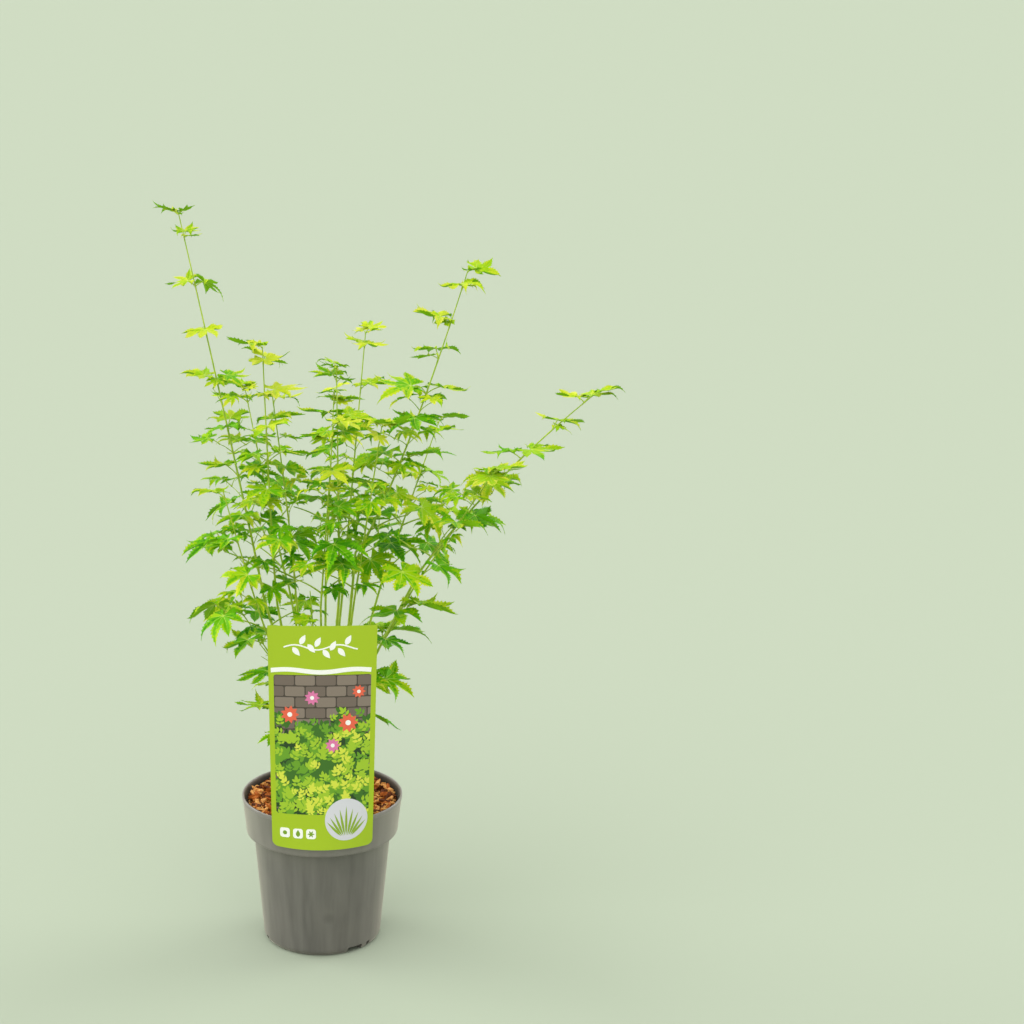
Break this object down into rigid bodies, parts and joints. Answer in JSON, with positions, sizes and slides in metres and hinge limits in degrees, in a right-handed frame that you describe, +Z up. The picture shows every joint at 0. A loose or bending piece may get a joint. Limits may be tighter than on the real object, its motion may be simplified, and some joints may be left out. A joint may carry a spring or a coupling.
{
  "type": "potted japanese maple",
  "caption": "Young japanese maple with lobed green leaves on slender rising stems, in a round grey nursery pot topped with bark mulch, with a tall hook-on label.",
  "frame": {"origin": "centre of the pot's flat underside, on the surface that it stands on", "axes": "+Z up, along the plant's height; +X to the right and +Y to the back, as seen from the front, where the label hangs"},
  "size_m": [0.54, 0.3321, 0.8704],
  "materials": {
    "pot": "satin grey moulded plastic, faintly streaked",
    "bark_mulch": "rough red-brown bark chips over dark potting mix",
    "label": "printed glossy plastic card",
    "stem": "smooth green bark with paler marks and darker nodes",
    "foliage": "soft satin leaves from deep green to lime yellow"
  },
  "bodies": {
    "root": {"pot": "pot", "bark_mulch": "bark_mulch", "label": "label", "trunk": "stem", "bough_left_outer": "stem", "bough_left_inner": "stem", "bough_left_low": "stem", "bough_left_back": "stem", "bough_centre_left": "stem", "bough_centre_front": "stem", "bough_centre": "stem", "bough_centre_back": "stem", "bough_centre_right": "stem", "bough_back": "stem", "bough_right_inner": "stem", "bough_right_back": "stem", "bough_right_thin": "stem", "bough_right_long": "stem", "foliage_left_tall": "foliage", "foliage_right_inner": "foliage", "foliage_right_long": "foliage", "foliage_left_inner": "foliage", "foliage_centre": "foliage", "foliage_centre_back": "foliage", "foliage_left_low": "foliage", "foliage_centre_front": "foliage", "foliage_centre_left": "foliage", "foliage_centre_right": "foliage", "foliage_right_thin": "foliage", "foliage_left_back": "foliage", "foliage_back": "foliage", "foliage_right_back": "foliage", "foliage_low_left": "foliage", "foliage_low_right": "foliage", "foliage_low_front": "foliage", "foliage_low_back": "foliage", "foliage_low_right_back": "foliage", "foliage_low_left_back": "foliage", "foliage_lowest_left": "foliage", "foliage_lowest_right": "foliage"}
  },
  "joints": []
}
